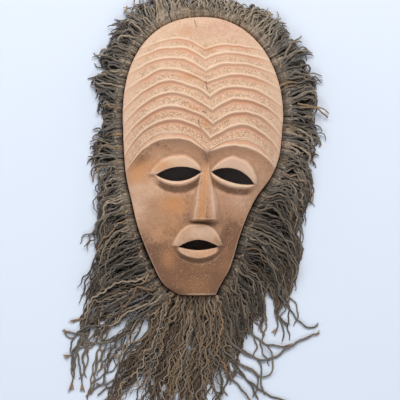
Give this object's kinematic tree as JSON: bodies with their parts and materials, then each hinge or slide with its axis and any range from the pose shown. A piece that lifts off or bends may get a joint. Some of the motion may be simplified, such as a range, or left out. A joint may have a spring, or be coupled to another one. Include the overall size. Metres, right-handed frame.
{
  "type": "carved wooden mask with cord fringe",
  "caption": "Carved wooden face mask with a ridged forehead, pierced slit eyes and mouth, and a fringe of twisted fibre cords knotted round its rim, lying on its back.",
  "frame": {"origin": "centre of the bounding box in plan, at the height of the back rim and the underside of the fringe", "axes": "+Z out of the face, +Y from chin to crown, +X to the right of someone looking at the face"},
  "size_m": [0.317, 0.5764, 0.0686],
  "materials": {
    "wood": "dry, hand-carved, pale on the ridges and rubbed darker on the cheeks",
    "cord": "knotted plant fibre, matt",
    "fibre": "twisted two-ply plant fibre, matt"
  },
  "bodies": {
    "root": {"mask_face": "wood", "heading_cord": "cord", "beard_left": "fibre", "jaw_left_lower": "fibre", "jaw_left_upper": "fibre", "temple_left_lower": "fibre", "temple_left_upper": "fibre", "crown_left_lower": "fibre", "crown_left_upper": "fibre", "crown_right_upper": "fibre", "crown_right_lower": "fibre", "temple_right_upper": "fibre", "temple_right_lower": "fibre", "jaw_right_upper": "fibre", "jaw_right_lower": "fibre", "beard_right": "fibre"}
  },
  "joints": []
}
